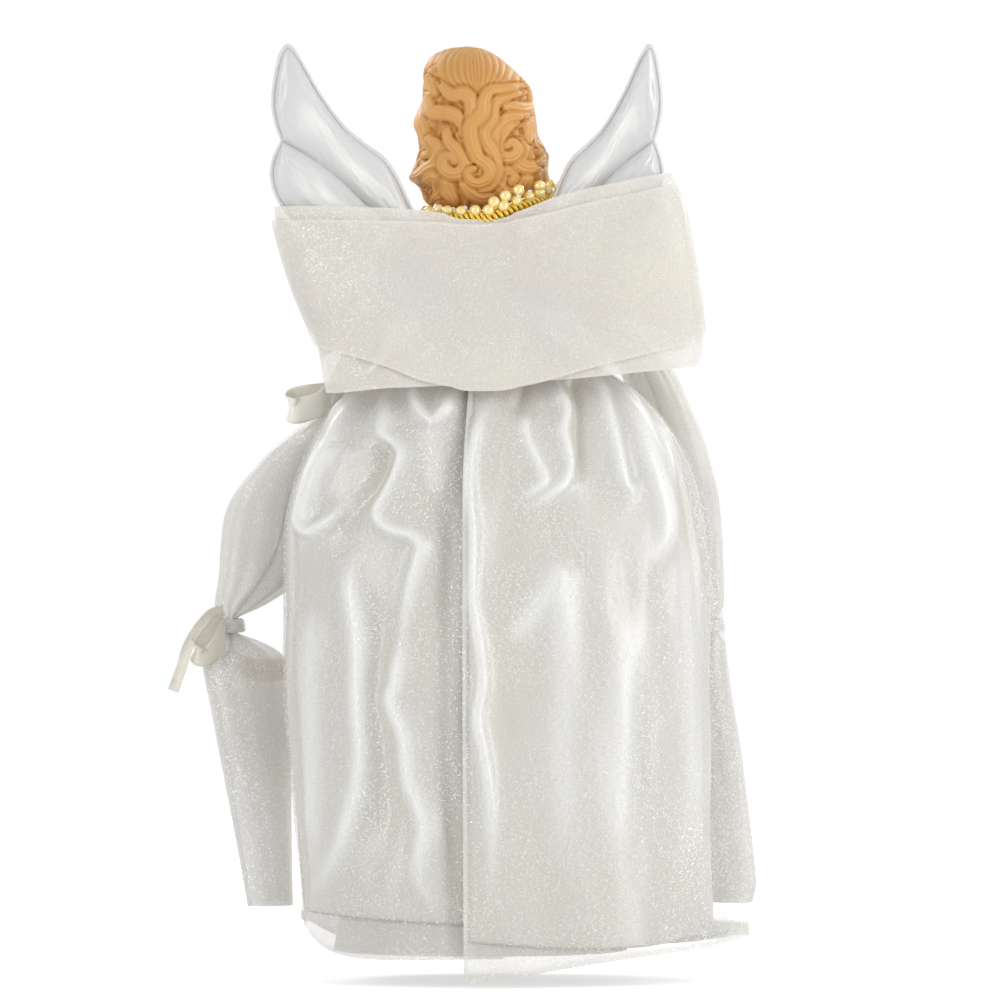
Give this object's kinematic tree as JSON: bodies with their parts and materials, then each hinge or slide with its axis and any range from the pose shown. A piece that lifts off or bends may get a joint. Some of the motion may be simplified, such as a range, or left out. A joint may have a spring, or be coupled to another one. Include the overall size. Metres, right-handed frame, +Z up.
{
  "type": "angel tree topper",
  "caption": "Angel figure on a hollow cone for the top of a tree, with moulded hair, bendable wings, posable sleeved arms, a pearl neckline, organza shawl and layered skirt.",
  "frame": {"origin": "on the axis of the cone, level with the lowest corner of the skirt's hem", "axes": "+Z up along the cone, -Y the way the face looks, +X to the figure's left"},
  "size_m": [0.1915, 0.13, 0.3038],
  "materials": {
    "satin": "ivory satin",
    "organza": "sheer ivory organza with glitter",
    "wing_satin": "cool white padded satin",
    "hair": "moulded resin, caramel paint",
    "skin": "moulded resin, flesh paint",
    "pearl": "pearl coat on plastic beads",
    "gold_braid": "metallic gold braid",
    "card": "plain white card",
    "wood": "bare turned wood",
    "wire": "bright bendable wire",
    "foam": "white rigid foam"
  },
  "bodies": {
    "body": {"support_cone": "card", "torso_core": "foam", "neck_peg": "wood", "shoulder_plate": "skin", "head": "hair", "neck_pearls": "pearl", "neck_braid": "gold_braid", "bodice": "satin", "waistband": "satin", "underskirt": "satin", "overskirt": "organza", "shawl_inner": "organza", "shawl_outer": "organza", "wing_anchor": "foam"},
    "left_wing": {"left_wing": "wing_satin", "left_wing_wire": "wire"},
    "right_wing": {"right_wing": "wing_satin", "right_wing_wire": "wire"},
    "left_arm": {"left_arm_wire": "wire", "left_sleeve": "organza", "left_cuff": "organza", "left_forearm": "skin", "left_tie": "satin", "left_tie_loop": "organza", "left_tie_tail": "organza", "left_upper_tie": "satin", "left_upper_loop": "satin"},
    "right_arm": {"right_arm_wire": "wire", "right_sleeve": "organza", "right_cuff": "organza", "right_forearm": "skin", "right_tie": "satin"}
  },
  "joints": [
    {"name": "left_wing_lean", "type": "hinge", "parent": "body", "child": "left_wing", "pos_m": [0.0115, 0.016, 0.236], "axis": [1, 0, 0], "range_deg": [-10, 10]},
    {"name": "right_wing_lean", "type": "hinge", "parent": "body", "child": "right_wing", "pos_m": [-0.0115, 0.016, 0.236], "axis": [1, 0, 0], "range_deg": [-10, 10]},
    {"name": "left_arm_swing", "type": "hinge", "parent": "body", "child": "left_arm", "pos_m": [0.02, 0, 0.2265], "axis": [-1, 0, 0], "range_deg": [0, 12]},
    {"name": "right_arm_swing", "type": "hinge", "parent": "body", "child": "right_arm", "pos_m": [-0.02, 0, 0.2265], "axis": [-1, 0, 0], "range_deg": [0, 12]}
  ]
}
